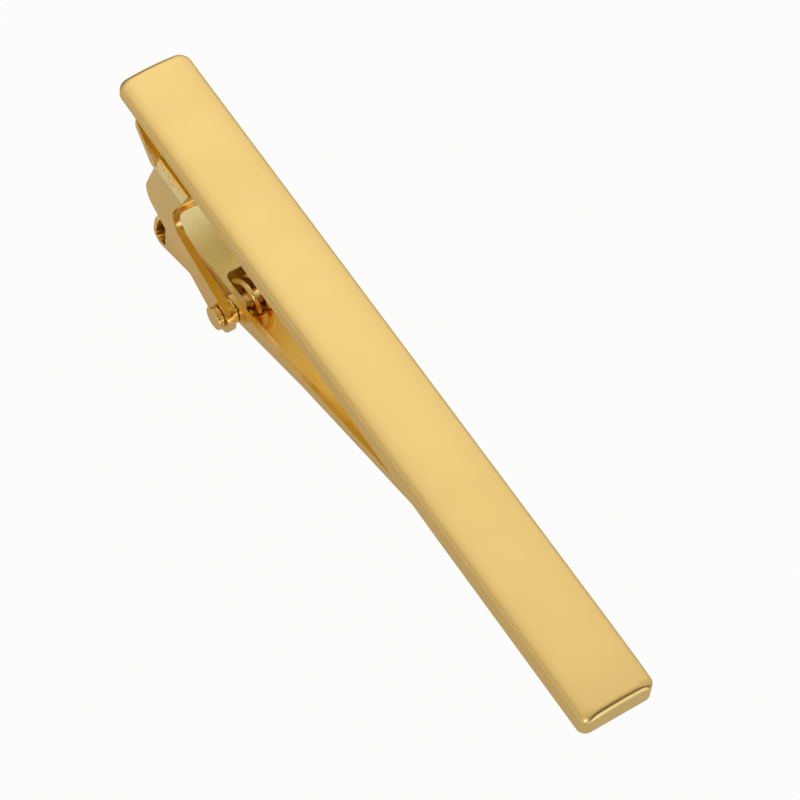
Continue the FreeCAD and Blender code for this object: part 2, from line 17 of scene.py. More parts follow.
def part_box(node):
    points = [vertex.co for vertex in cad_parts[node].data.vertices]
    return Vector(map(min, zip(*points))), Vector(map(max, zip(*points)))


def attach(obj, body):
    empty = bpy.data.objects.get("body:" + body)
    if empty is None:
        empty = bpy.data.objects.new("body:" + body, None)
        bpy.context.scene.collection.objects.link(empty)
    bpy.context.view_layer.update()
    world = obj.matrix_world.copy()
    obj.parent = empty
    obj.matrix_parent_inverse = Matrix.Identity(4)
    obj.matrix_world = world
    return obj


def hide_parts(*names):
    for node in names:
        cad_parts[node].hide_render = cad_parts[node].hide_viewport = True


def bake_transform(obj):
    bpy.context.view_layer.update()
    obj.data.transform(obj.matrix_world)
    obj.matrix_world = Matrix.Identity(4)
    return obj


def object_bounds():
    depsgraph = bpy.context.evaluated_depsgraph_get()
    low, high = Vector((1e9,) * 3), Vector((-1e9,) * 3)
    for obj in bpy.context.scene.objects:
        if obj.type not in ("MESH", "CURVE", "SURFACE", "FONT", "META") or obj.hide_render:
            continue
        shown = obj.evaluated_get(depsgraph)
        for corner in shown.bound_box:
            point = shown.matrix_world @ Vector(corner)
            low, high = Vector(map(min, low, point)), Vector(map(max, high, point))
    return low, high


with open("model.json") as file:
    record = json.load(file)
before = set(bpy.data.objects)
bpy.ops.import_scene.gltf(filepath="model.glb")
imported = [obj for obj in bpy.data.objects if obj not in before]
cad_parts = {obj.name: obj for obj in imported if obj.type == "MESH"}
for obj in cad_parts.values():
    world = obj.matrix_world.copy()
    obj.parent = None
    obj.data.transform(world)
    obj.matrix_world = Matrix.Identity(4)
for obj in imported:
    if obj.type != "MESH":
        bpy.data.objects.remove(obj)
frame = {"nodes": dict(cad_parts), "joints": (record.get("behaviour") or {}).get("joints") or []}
CAD_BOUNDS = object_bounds()

bl_info = {
    "name": "Tie clip",
    "version": (1, 0, 0),
    "blender": (4, 5, 0),
    "location": "View3D > Sidebar > Tie Clip",
    "description": "Dresses the packed tie clip with satin and polished gold pieces on a pale stage",
    "category": "Object",
}

MM = 0.001
BAR_LOW, BAR_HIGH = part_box("bar")
PIVOT = Vector(frame["joints"][0]["pos_m"])

# Steps of the fine meshes
CORNER_STEPS = 10
LENGTH_STEPS = 48
WIDTH_STEPS = 16
ROLL_STEPS = 8
BACK_STEPS = 5
BEND_STEPS = 6
COIL_STEPS = 40

# The facet along the front's edge at the gripping end: its slope,
# and its length as a share of the bend's radius
FACET_ANGLE = math.radians(54)
FACET_LENGTH = 0.45

# Tolerances for the copies of CAD meshes
MERGE_REACH = 0.0005 * MM
FLAT_ANGLE = math.radians(0.4)
SHARP_ANGLE = math.radians(32)
FOLD_REACH = 0.06
END_WALL_REACH = 0.3 * MM
NORMAL_WEIGHT = 60

# How strongly the meshes' marks act
FOLD_STRENGTH = 2.6
# Share of the painted deeper shade inside the channels and behind the bar
INSIDE_SHADE_SHARE = 0.9

# Depths of the bumps in the finishes
GRAIN_DEPTH = 0.004 * MM
HAIRLINE_DEPTH = 0.004 * MM
FOLD_GRAIN_DEPTH = 0.09 * MM
WIRE_LINE_DEPTH = 0.006 * MM

# The floor's outline, and its gap under the clip
FLOOR_SIDES = 96
FLOOR_GAP = 0.02 * MM

# Where each band of the room starts and is full, on the direction from the clip
ROOM_BANDS = {
    "overhead": (-0.25, 0.85),
    "dim_ahead": (-0.42, -0.1),
    "shade_ahead": (0.25, 0.65),
    "shade_behind": (0.7, 1.0),
    "low_near": (0.14, 0.05),
    "near_side": (0.1, 0.4),
    "low_ahead": (0.34, 0.22),
    "end_side": (0.6, 0.85),
}
OVERHEAD_LEAN = 0.6
NEAR_SIDE_LEAN = 0.75

# The camera's frame and near clipping distance
FRAME_WIDTH = 36.0
CLIP_START = 0.01

# Names of the attributes that the meshes hand to the materials
EDGE_MARK = "edge_mark"
FOLD_MARK = "fold_mark"
# The inside mark carries painted shade: a deeper, more orange colour inside channels and behind the bar
INSIDE_SHADE_MARK = "inside_painted_shade"
WIRE_PLACE = "wire_place"


def length_property(name, description, millimetres):
    """A length that a user may change, given here in millimetres."""
    return FloatProperty(
        name=name, description=description, default=millimetres * MM, min=0.0, unit="LENGTH", precision=5
    )


def place_property(name, description, millimetres):
    """A point in the clip's frame, given here in millimetres."""
    metres = [number * MM for number in millimetres]
    return FloatVectorProperty(
        name=name, description=description, default=metres, size=3, unit="LENGTH", precision=5
    )


def share_property(name, description, share):
    """A number from nought to one."""
    return FloatProperty(
        name=name, description=description, default=share, min=0.0, max=1.0, subtype="FACTOR"
    )


def metre_property(name, description, metres):
    """A length of the stage, given here in metres."""
    return FloatProperty(name=name, description=description, default=metres, min=0.0, unit="LENGTH")


def level_property(name, description, level):
    """A brightness, where one is white."""
    return FloatProperty(name=name, description=description, default=level, min=0.0)


def direction_property(name, description, direction):
    """A direction from the clip."""
    return FloatVectorProperty(
        name=name, description=description, default=direction, size=3, subtype="DIRECTION"
    )


def colour_property(name, description, colour):
    """A plain colour."""
    return FloatVectorProperty(
        name=name, description=description, default=colour, size=3, min=0.0, max=1.0, subtype="COLOR"
    )


class TieClipBar(PropertyGroup):
    """Sizes of the satin bar that the CAD box doesn't give."""

    crown: length_property("Crown", "How much higher the front is along its middle than at its sides", 0.3)
    side_roll: length_property("Side roll", "Width of the soft roll along the long edges of the front", 1.1)
    side_drop: length_property("Side drop", "Depth of the soft roll along the long edges", 0.38)
    far_roll: length_property("Far roll", "Width of the roll at the end over the hinge", 0.5)
    far_drop: length_property("Far drop", "Depth of the roll at the end over the hinge", 0.4)
    near_roll: length_property("Near roll", "Width of the tight roll at the gripping end", 0.5)
    near_drop: length_property("Near drop", "Depth of the tight roll at the gripping end", 0.36)
    near_sag: length_property("Near sag", "How far the front sinks towards the gripping end", 0.15)
    end_reach: length_property("End reach", "Length at the gripping end over which the front sinks", 5.0)
    flat_back: length_property("Flat back", "Length of the flat back at the gripping end", 18.0)
    taper_rise: length_property("Taper rise", "How far the back rises from there to the far end", 1.1)
    far_corner: length_property("Far corners", "Radius of the upright corners over the hinge", 0.85)
    near_corner: length_property("Near corners", "Radius of the upright corners at the gripping end", 0.7)
    back_round: length_property("Back edge", "Radius of the edge around the back", 0.15)


class TieClipSheet(PropertyGroup):
    """Rounding of the pieces that are cut and folded from sheet, and of the turned ones."""

    sheet_edge: length_property("Sheet edge", "Radius of the tumbled edges of the folded sheet", 0.11)
    turned_edge: length_property("Turned edge", "Radius of the edges of the pin and the washers", 0.035)
    edge_steps: IntProperty(
        name="Edge steps", description="Faces across a rounded edge", default=3, min=2, max=6
    )
    bracket_sheet: length_property("Bracket sheet", "Thickness of the bracket's sheet", 0.6)
    arm_sheet: length_property("Arm sheet", "Thickness of the arm's sheet", 0.4)
    fold_radius: length_property("Fold radius", "Outer radius of the folds beside the bracket's web", 0.8)
    fold_depth: length_property("Fold depth", "How far the web lies behind the flat part of the back", 1.3)


class TieClipSpring(PropertyGroup):
    """Sizes of the wound wire spring."""

    wire_radius: length_property("Wire radius", "Radius of the wire", 0.2)
    coil_radius: length_property("Coil radius", "Radius of the winding at the middle of the wire", 1.4)
    coil_pitch: length_property("Coil pitch", "Distance along the pin from one turn to the next", 0.83)
    coil_lift: length_property("Coil lift", "How far the winding's middle stands above the pin", 0.5)
    coil_shift: length_property("Coil shift", "How far the winding stands to the far side", 0.05)
    coil_turns: FloatProperty(name="Turns", description="Turns that the winding has", default=2.0, min=1.0)
    bar_leg_reach: length_property("Bar leg", "How far behind the pin the leg on the bar stands", 3.0)
    bar_leg_end: length_property("Bar leg end", "Length of the leg's end that stands square to the bar", 1.5)
    bar_leg_gap: length_property("Bar leg gap", "Gap between the end of that leg and the bar's back", 0.05)
    leg_bend: length_property("Leg bend", "Radius of the bend in the leg on the bar", 0.7)
    arm_leg_reach: length_property("Arm leg", "How far behind the pin the leg on the arm rests", 3.5)
    arm_leg_drop: length_property("Arm leg drop", "How far below the pin the leg on the arm rests", 1.479)
    give_start: length_property("Give start", "Where the leg starts to follow the arm, from the pin", 1.45)
    give_end: length_property("Give end", "Where the leg follows the arm fully, from the pin", 3.6)
    sides: IntProperty(name="Sides", description="Faces around the wire", default=20, min=8, max=64)


class TieClipFinish(PropertyGroup):
    """Colours and roughness of the gold finishes."""

    satin: colour_property("Satin gold", "Colour of the satin bar", (0.945, 0.69, 0.262))
    polished: colour_property("Polished gold", "Colour of the sheet, pin and washers", (0.98, 0.69, 0.26))
    wire: colour_property("Wire gold", "Colour of the spring wire", (1.0, 0.74, 0.28))
    plate: colour_property("Plate gold", "Paler colour of the lever plate", (1.0, 0.88, 0.46))
    # Painted shade: the deep and inner colours stand in for the darker, more orange light that bounces
    # between the gold walls inside the arm, inside the bracket and behind the bar
    deep_shade: colour_property("Deep shade gold", "Colour inside the arm", (1.0, 0.58, 0.09))
    inner: colour_property("Inner shade gold", "Colour inside the bracket and behind the bar", (1.0, 0.76, 0.1))
    # Painted highlight and wear: the paler edge colour stands partly for worn plating, partly for bright
    # lines of light along the edges
    rubbed_and_highlit: colour_property("Rubbed and highlit gold", "Paler colour where edges are rubbed", (0.99, 0.84, 0.52))
    # Painted highlight: pale specks along the bracket's folds stand in for the bright line that the folds
    # catch
    speck_highlight: colour_property("Highlight specks", "Colour of the specks on the bracket's folds", (1.0, 0.86, 0.5))
    satin_roughness: share_property("Satin roughness", "Roughness of the satin bar", 0.33)
    polished_roughness: share_property("Polished roughness", "Roughness of the polished pieces", 0.16)
    plate_roughness: share_property("Plate roughness", "Roughness of the matt lever plate", 0.5)
    wire_roughness: share_property("Wire roughness", "Roughness of the drawn wire", 0.24)
    glancing: colour_property("Glancing tint", "Tint of the gold at glancing angles", (1.0, 0.9, 0.75))


class TieClipStage(PropertyGroup):
    """The pale floor, the soft light and the camera."""

    floor: colour_property("Floor", "Colour of the floor", (0.6, 0.6, 0.6))
    floor_radius: metre_property("Floor radius", "Radius of the floor", 1.6)
    seen_white: share_property("Seen white", "Share of plain white in the floor that the camera sees", 0.96)
    shown_white: share_property("Reflected white", "Share of plain white in the floor in reflections", 0.24)
    wall: colour_property("Wall", "Colour of the room low down on the near side", (0.50, 0.42, 0.32))
    dark_wall: colour_property("Dark wall", "Colour of the shaded walls at both ends", (0.09, 0.065, 0.04))
    ceiling: colour_property("Ceiling", "Colour of the room overhead and on the far side", (1.0, 0.99, 0.96))
    dim_ceiling: colour_property("Dim ceiling", "Colour overhead to the gripping end", (0.66, 0.62, 0.57))
    low_light: level_property("Low light", "Brightness of the room just above the floor", 1.3)
    key_level: level_property("Key level", "Brightness of the large soft lamp", 0.13)
    key_width: metre_property("Key width", "Side of the large soft lamp across the bar", 0.5)
    key_length: metre_property("Key length", "Side of the large soft lamp along the bar", 0.48)
    key_distance: metre_property("Key distance", "From the clip to either lamp", 0.7)
    key_direction: direction_property("Key direction", "Where the large lamp hangs", (-0.62, 0.22, 0.75))
    glint_level: level_property("Glint level", "Brightness of the small soft lamp", 9.0)
    glint_side: metre_property("Glint side", "Side of the small soft lamp", 0.13)
    glint_direction: direction_property("Glint direction", "Where the small lamp hangs", (0.57, -0.64, 0.48))
    camera_place: place_property("Camera place", "Where the camera stands", (112.455, -88.853, 239.590))
    camera_aim: place_property("Camera aim", "The point that the camera looks at", (1.853, 0.962, 0.0))
    camera_roll: FloatProperty(
        name="Camera roll", description="Turn of the camera about its line of sight",
        default=math.radians(-6.867), subtype="ANGLE",
    )
    lens: FloatProperty(name="Lens", description="Focal length in millimetres", default=180.0)


class TieClipSettings(PropertyGroup):
    """All that a user may change."""

    bar: PointerProperty(type=TieClipBar, name="Bar", description="The satin bar")
    sheet: PointerProperty(type=TieClipSheet, name="Sheet", description="Folded and turned pieces")
    spring: PointerProperty(type=TieClipSpring, name="Spring", description="The wound spring")
    finish: PointerProperty(type=TieClipFinish, name="Finish", description="The gold finishes")
    stage: PointerProperty(type=TieClipStage, name="Stage", description="Floor, light and camera")


# Node helpers


def add_node(tree, kind, place, **values):
    """A node of a tree, with some of its settings."""
    node = tree.nodes.new(kind)
    node.location = place
    for name, setting in values.items():
        setattr(node, name, setting)
    return node


def add_math(tree, place, operation, *sources):
    """A Math node whose inputs are links or numbers."""
    node = add_node(tree, "ShaderNodeMath", place, operation=operation)
    for socket, source in zip(node.inputs, sources):
        connect(tree, source, socket)
    return node.outputs["Value"]


def add_mix(tree, place, blend, share, first, second):
    """A colour Mix node whose inputs are links, colours or numbers."""
    node = add_node(tree, "ShaderNodeMix", place, data_type="RGBA", blend_type=blend)
    sources = {"Factor_Float": share, "A_Color": first, "B_Color": second}
    for socket in node.inputs:
        if socket.identifier in sources:
            connect(tree, sources[socket.identifier], socket)
    return next(socket for socket in node.outputs if socket.identifier == "Result_Color")


def add_ramp(tree, place, source, low, high):
    """A smooth step of a value from nought at its low end to one at its high end."""
    ramp = add_node(tree, "ShaderNodeMapRange", place, interpolation_type="SMOOTHSTEP")
    ramp.inputs["From Min"].default_value = low
    ramp.inputs["From Max"].default_value = high
    tree.links.new(source, ramp.inputs["Value"])
    return ramp.outputs["Result"]


def add_noise(tree, place, detail):
    """A noise node with that much detail."""
    noise = add_node(tree, "ShaderNodeTexNoise", place)
    noise.inputs["Detail"].default_value = detail
    return noise


def connect(tree, source, socket):
    """Links a socket to another, or sets it to a number or a colour."""
    if isinstance(source, bpy.types.NodeSocket):
        tree.links.new(source, socket)
    elif hasattr(source, "__len__"):
        socket.default_value = (*source, 1.0) if len(source) == 3 else source
    else:
        socket.default_value = source


def open_group(name, inputs, outputs):
    """A new shader group with its named sockets, and its two end nodes."""
    tree = bpy.data.node_groups.new(name, "ShaderNodeTree")
    for label, kind, default in inputs:
        socket = tree.interface.new_socket(label, in_out="INPUT", socket_type=kind)
        socket.default_value = default
    for label, kind in outputs:
        tree.interface.new_socket(label, in_out="OUTPUT", socket_type=kind)
    start = add_node(tree, "NodeGroupInput", (-900, 0))
    end = add_node(tree, "NodeGroupOutput", (700, 0))
    return tree, start, end


def use_group(tree, name, place, **values):
    """A shader group placed in a material with its own values."""
    node = add_node(tree, "ShaderNodeGroup", place)
    node.node_tree = shader_group(name)
    for label, source in values.items():
        connect(tree, source, node.inputs[label.replace("_", " ")])
    return node


# Shared shader groups


def make_blasted_grain():
    """Fine even grain: a height for the bump and a slight change of tone."""
    tree, start, end = open_group(
        "Blasted grain",
        [("Scale", "NodeSocketFloat", 6000.0), ("Unevenness", "NodeSocketFloat", 500.0)],
        [("Height", "NodeSocketFloat"), ("Tone", "NodeSocketFloat")],
    )
    coords = add_node(tree, "ShaderNodeTexCoord", (-900, -250))
    grain = add_noise(tree, (-500, 100), 2.0)
    cloud = add_noise(tree, (-500, -200), 3.0)
    for noise, label in ((grain, "Scale"), (cloud, "Unevenness")):
        tree.links.new(coords.outputs["Object"], noise.inputs["Vector"])
        tree.links.new(start.outputs[label], noise.inputs["Scale"])
    tree.links.new(grain.outputs["Fac"], end.inputs["Height"])
    tree.links.new(cloud.outputs["Fac"], end.inputs["Tone"])
    return tree


def make_handling_marks():
    """Faint smudges and hairlines left by handling."""
    tree, start, end = open_group(
        "Handling marks",
        [
            ("Smudge scale", "NodeSocketFloat", 260.0),
            ("Hairline scale", "NodeSocketFloat", 1400.0),
            ("Stretch", "NodeSocketVector", (0.08, 1.0, 1.0)),
        ],
        [("Smudge", "NodeSocketFloat"), ("Hairline", "NodeSocketFloat")],
    )
    coords = add_node(tree, "ShaderNodeTexCoord", (-900, -250))
    smudge = add_noise(tree, (-450, 150), 4.0)
    smudge.inputs["Roughness"].default_value = 0.6
    soft_smudge = add_ramp(tree, (-150, 150), smudge.outputs["Fac"], 0.35, 0.7)
    lines = add_node(tree, "ShaderNodeMapping", (-650, -200))
    hairline = add_noise(tree, (-450, -200), 2.0)
    tree.links.new(coords.outputs["Object"], smudge.inputs["Vector"])
    tree.links.new(coords.outputs["Object"], lines.inputs["Vector"])
    tree.links.new(start.outputs["Stretch"], lines.inputs["Scale"])
    tree.links.new(lines.outputs["Vector"], hairline.inputs["Vector"])
    tree.links.new(start.outputs["Smudge scale"], smudge.inputs["Scale"])
    tree.links.new(start.outputs["Hairline scale"], hairline.inputs["Scale"])
    tree.links.new(soft_smudge, end.inputs["Smudge"])
    tree.links.new(hairline.outputs["Fac"], end.inputs["Hairline"])
    return tree


def make_rubbed_highlit_edges():
    """Paler, smoother metal along the edges that the mesh has marked: partly wear, partly a painted
    highlight.
    """
    tree, start, end = open_group(
        "Rubbed and highlit edges",
        [
            ("Colour", "NodeSocketColor", (0.9, 0.65, 0.25, 1.0)),
            ("Rubbed colour", "NodeSocketColor", (1.0, 0.8, 0.45, 1.0)),
            ("Amount", "NodeSocketFloat", 0.6),
            ("Patch scale", "NodeSocketFloat", 900.0),
        ],
        [("Colour", "NodeSocketColor"), ("Mask", "NodeSocketFloat")],
    )
    coords = add_node(tree, "ShaderNodeTexCoord", (-900, -300))
    mark = add_node(tree, "ShaderNodeAttribute", (-650, 150), attribute_name=EDGE_MARK)
    patches = add_node(tree, "ShaderNodeTexNoise", (-650, -200))
    tree.links.new(coords.outputs["Object"], patches.inputs["Vector"])
    tree.links.new(start.outputs["Patch scale"], patches.inputs["Scale"])
    worn_and_highlit = add_math(tree, (-350, 0), "MULTIPLY", mark.outputs["Fac"], patches.outputs["Fac"])
    mask = add_math(tree, (-150, 0), "MULTIPLY", worn_and_highlit, start.outputs["Amount"])
    colour = add_mix(tree, (150, 150), "MIX", mask, start.outputs["Colour"], start.outputs["Rubbed colour"])
    tree.links.new(colour, end.inputs["Colour"])
    tree.links.new(mask, end.inputs["Mask"])
    return tree


GROUP_MAKERS = {
    "Blasted grain": make_blasted_grain,
    "Handling marks": make_handling_marks,
    "Rubbed and highlit edges": make_rubbed_highlit_edges,
}


def shader_group(name):
    """The shared shader group of that name, made the first time it is asked for."""
    group = bpy.data.node_groups.get(name)
    if group is None:
        group = GROUP_MAKERS[name]()
    return group


# Finishes


def open_metal(name, finish):
    """A new metal material: its tree and its Principled shader."""
    material = bpy.data.materials.new(name)
    material.use_nodes = True
    tree = material.node_tree
    shader = tree.nodes["Principled BSDF"]
    shader.inputs["Metallic"].default_value = 1.0
    shader.inputs["Specular Tint"].default_value = (*finish.glancing, 1.0)
    return material, tree, shader


def feed(tree, shader, colour, roughness, normal):
    """Links a finish's colour, roughness and normal to its shader."""
    tree.links.new(colour, shader.inputs["Base Color"])
    tree.links.new(roughness, shader.inputs["Roughness"])
    tree.links.new(normal, shader.inputs["Normal"])


def add_bump(tree, place, height, strength, depth, below=None):
    """A Bump node on a height, over another bump where one is given."""
    bump = add_node(tree, "ShaderNodeBump", place)
    bump.inputs["Strength"].default_value = strength
    bump.inputs["Distance"].default_value = depth
    tree.links.new(height, bump.inputs["Height"])
    if below is not None:
        tree.links.new(below, bump.inputs["Normal"])
    return bump.outputs["Normal"]


def varied(tree, place, level, amount, mask):
    """A level that a mask raises by up to an amount."""
    scaled = add_math(tree, place, "MULTIPLY", mask, amount)
    return add_math(tree, (place[0] + 180, place[1]), "ADD", scaled, level)


def with_painted_inside_shade(tree, place, colour, deep_shade):
    """The colour with painted shade: made deeper and more orange where the mesh is marked as inside, in place
    of the light that bounces inside channels; and the share of the change.
    """
    inside = add_node(tree, "ShaderNodeAttribute", place, attribute_name=INSIDE_SHADE_MARK)
    share = add_math(tree, (place[0] + 180, place[1]), "MULTIPLY", inside.outputs["Fac"], INSIDE_SHADE_SHARE)
    return add_mix(tree, (place[0] + 360, place[1]), "MIX", share, colour, deep_shade), share


def satin_gold(finish):
    """The bar: even fine-blasted gold with faint clouds, edges made paler by wear and a painted highlight,
    and a painted deeper shade on its back.
    """
    material, tree, shader = open_metal("satin_finish", finish)
    grain = use_group(tree, "Blasted grain", (-900, 100), Scale=7000.0, Unevenness=260.0)
    marks = use_group(tree, "Handling marks", (-900, -200), Smudge_scale=140.0, Hairline_scale=900.0)
    # Paler edges: partly wear, partly painted highlight
    edges = use_group(
        tree, "Rubbed and highlit edges", (-600, 350), Colour=finish.satin, Rubbed_colour=finish.rubbed_and_highlit, Amount=0.25
    )
    cloud = add_mix(tree, (-250, 350), "MULTIPLY", 0.06, edges.outputs["Colour"], grain.outputs["Tone"])
    # Painted shade: the marked back turns a deeper, more orange colour, and rougher
    colour, inside = with_painted_inside_shade(tree, (-600, 600), cloud, finish.inner)
    roughness = varied(tree, (-500, 0), finish.satin_roughness, 0.05, marks.outputs["Smudge"])
    worn_and_highlit = add_math(tree, (-400, 150), "MULTIPLY", edges.outputs["Mask"], -1.3)
    smooth_ends = add_math(tree, (-250, 100), "ADD", roughness, worn_and_highlit)
    rough_back = add_math(tree, (-100, 0), "MULTIPLY_ADD", inside, 0.2, smooth_ends)
    normal = add_bump(tree, (-250, -250), grain.outputs["Height"], 0.25, GRAIN_DEPTH)
    feed(tree, shader, colour, rough_back, normal)
    return material


def polished_gold(finish):
    """Cut and turned pieces: bright gold with smudges, hairlines, edges made paler by wear and a painted
    highlight, and a painted deeper shade inside the arm's channel.
    """
    material, tree, shader = open_metal("polished_finish", finish)
    dress_polished(tree, shader, finish, finish.polished, finish.deep_shade, finish.polished_roughness)
    return material


def matt_gold(finish):
    """The lever plate: paler gold, left matt."""
    material, tree, shader = open_metal("matt_finish", finish)
    dress_polished(tree, shader, finish, finish.plate, finish.deep_shade, finish.plate_roughness)
    return material


def dress_polished(tree, shader, finish, gold, deep_shade, level):
    """The nodes that all cut pieces share; gives the colour, roughness and normal sockets."""
    marks = use_group(tree, "Handling marks", (-1100, -200))
    # Paler edges: partly wear, partly painted highlight
    edges = use_group(
        tree, "Rubbed and highlit edges", (-800, 350), Colour=gold, Rubbed_colour=finish.rubbed_and_highlit, Amount=1.5
    )
    smudged = add_mix(tree, (-450, 350), "MULTIPLY", 0.08, edges.outputs["Colour"], marks.outputs["Smudge"])
    # Painted shade: a deeper, more orange colour inside the channels
    colour, _ = with_painted_inside_shade(tree, (-800, 600), smudged, deep_shade)
    roughness = varied(tree, (-800, 0), level, 0.1, marks.outputs["Smudge"])
    normal = add_bump(tree, (-450, -250), marks.outputs["Hairline"], 0.12, HAIRLINE_DEPTH)
    feed(tree, shader, colour, roughness, normal)
    return colour, roughness, normal


def folded_gold(finish):
    """The bracket: polished gold, with the rough skin that its folds took from the press, pale specks painted
    on the folds as a highlight, and a painted deeper shade inside.
    """
    material, tree, shader = open_metal("folded_finish", finish)
    colour, roughness, normal = dress_polished(
        tree, shader, finish, finish.polished, finish.inner, finish.polished_roughness
    )
    fold = add_node(tree, "ShaderNodeAttribute", (-1100, -550), attribute_name=FOLD_MARK)
    middle = add_ramp(tree, (-950, -550), fold.outputs["Fac"], 0.3, 0.9)
    grain = use_group(tree, "Blasted grain", (-1100, -750), Scale=6200.0, Unevenness=900.0)
    height = add_math(tree, (-800, -650), "MULTIPLY", middle, grain.outputs["Height"])
    rough_normal = add_bump(tree, (-200, -450), height, 1.0, FOLD_GRAIN_DEPTH, normal)
    rougher = add_math(tree, (-450, -450), "MULTIPLY", middle, 0.18)
    rough_fold = add_math(tree, (-250, -100), "ADD", roughness, rougher)
    # Painted highlight: pale specks on the folds
    specks = add_ramp(tree, (-800, -850), grain.outputs["Height"], 0.25, 0.6)
    paler = add_math(tree, (-450, 100), "MULTIPLY", middle, specks)
    pale = add_mix(tree, (-200, 350), "MIX", paler, colour, finish.speck_highlight)
    feed(tree, shader, pale, rough_fold, rough_normal)
    return material


def drawn_wire(finish):
    """The spring: bright wire with the fine lines of the drawing die along it."""
    material, tree, shader = open_metal("wire_finish", finish)
    place = add_node(tree, "ShaderNodeAttribute", (-1100, 0), attribute_name=WIRE_PLACE)
    stretch = add_node(tree, "ShaderNodeMapping", (-900, 0))
    stretch.inputs["Scale"].default_value = (0.06 / MM, 14.0, 1.0)
    lines = add_noise(tree, (-700, 0), 3.0)
    lines.inputs["Scale"].default_value = 1.0
    tree.links.new(place.outputs["Vector"], stretch.inputs["Vector"])
    tree.links.new(stretch.outputs["Vector"], lines.inputs["Vector"])
    marks = use_group(tree, "Handling marks", (-900, -350), Smudge_scale=700.0)
    colour = add_mix(tree, (-400, 250), "MULTIPLY", 0.25, finish.wire, lines.outputs["Fac"])
    roughness = varied(tree, (-500, -100), finish.wire_roughness, 0.12, marks.outputs["Smudge"])
    normal = add_bump(tree, (-300, -350), lines.outputs["Fac"], 0.3, WIRE_LINE_DEPTH)
    feed(tree, shader, colour, roughness, normal)
    return material


FINISH_MAKERS = {
    "satin_finish": satin_gold,
    "polished_finish": polished_gold,
    "matt_finish": matt_gold,
    "folded_finish": folded_gold,
    "wire_finish": drawn_wire,
}


def finish_named(name):
    """The finish of that name, made the first time it is asked for."""
    material = bpy.data.materials.get(name)
    if material is None:
        material = FINISH_MAKERS[name](bpy.context.scene.tie_clip.finish)
    return material


# Pieces


def add_object(name, data):
    """A new object in the scene."""
    thing = bpy.data.objects.new(name, data)
    bpy.context.scene.collection.objects.link(thing)
    return thing


def plain_mesh(carrier):
    """The mesh of an object with its modifiers applied."""
    depsgraph = bpy.context.evaluated_depsgraph_get()
    return bpy.data.meshes.new_from_object(carrier.evaluated_get(depsgraph))


def add_piece(name, mesh, node, finish):
    """An object that stands for a CAD node, with its finish."""
    mesh.name = name
    mesh.materials.clear()
    mesh.materials.append(finish_named(finish))
    piece = add_object(name, mesh)
    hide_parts(node)
    return piece


def mesh_from(work):
    """A plain mesh from a bmesh, which is freed."""
    mesh = bpy.data.meshes.new("work")
    work.to_mesh(mesh)
    work.free()
    return mesh


def even_normals(mesh):
    """The same mesh, smooth, with normals that follow its larger faces."""
    for polygon in mesh.polygons:
        polygon.use_smooth = True
    carrier = add_object("carrier", mesh)
    weigh = carrier.modifiers.new("Weighted normals", "WEIGHTED_NORMAL")
    weigh.mode = "FACE_AREA"
    weigh.weight = NORMAL_WEIGHT
    weigh.keep_sharp = False
    result = plain_mesh(carrier)
    bpy.data.objects.remove(carrier)
    return result


def merged_copy(node):
    """A bmesh of a CAD node with its doubled points merged and its flat faces whole."""
    work = bmesh.new()
    work.from_mesh(frame["nodes"][node].data)
    bmesh.ops.remove_doubles(work, verts=work.verts, dist=MERGE_REACH)
    bmesh.ops.dissolve_limit(
        work, angle_limit=FLAT_ANGLE, verts=work.verts, edges=work.edges, use_dissolve_boundaries=False
    )
    return work


def round_edges(work, radius, steps):
    """Rounds the sharp edges of a bmesh and marks the middle of each round for the paler edge colour, which
    is partly wear and partly painted highlight.
    """
    mark = work.verts.layers.float.new(EDGE_MARK)
    sharp = [edge for edge in work.edges if edge.is_manifold and edge.calc_face_angle() > SHARP_ANGLE]
    rounded = bmesh.ops.bevel(
        work, geom=sharp, offset=radius, offset_type="OFFSET", segments=steps, profile=0.5,
        affect="EDGES", clamp_overlap=True,
    )
    new_faces = set(rounded["faces"])
    for face in new_faces:
        for vert in face.verts:
            vert[mark] = float(new_faces.issuperset(vert.link_faces))


def rounded_node(node, radius, steps):
    """A mesh of a CAD node with rounded edges and even normals."""
    work = merged_copy(node)
    round_edges(work, radius, steps)
    return even_normals(mesh_from(work))


def mark_inside_shade(mesh, half_width):
    """Marks the faces of a channel that lie within its walls, where the finishes paint a deeper shade."""
    mark = mesh.attributes.new(INSIDE_SHADE_MARK, "FLOAT", "POINT")
    for vertex in mesh.vertices:
        mark.data[vertex.index].value = float(abs(vertex.co.y) < half_width + MERGE_REACH)


def mark_folds(mesh, half_width, depth, radius):
    """Marks the outer skin of the two folds along the bracket's web, most at the middle of each fold; the
    finish puts its rough skin and its painted highlight specks there.
    """
    mark = mesh.attributes.new(FOLD_MARK, "FLOAT", "POINT")
    for vertex in mesh.vertices:
        sideways = (abs(vertex.co.y) - half_width + radius) / radius
        forwards = (vertex.co.z + depth + radius) / radius
        on_skin = min(sideways, forwards) > 0 and abs(math.hypot(sideways, forwards) - 1) < FOLD_REACH
        mark.data[vertex.index].value = FOLD_STRENGTH * sideways**2 * forwards if on_skin else 0.0


# The bar


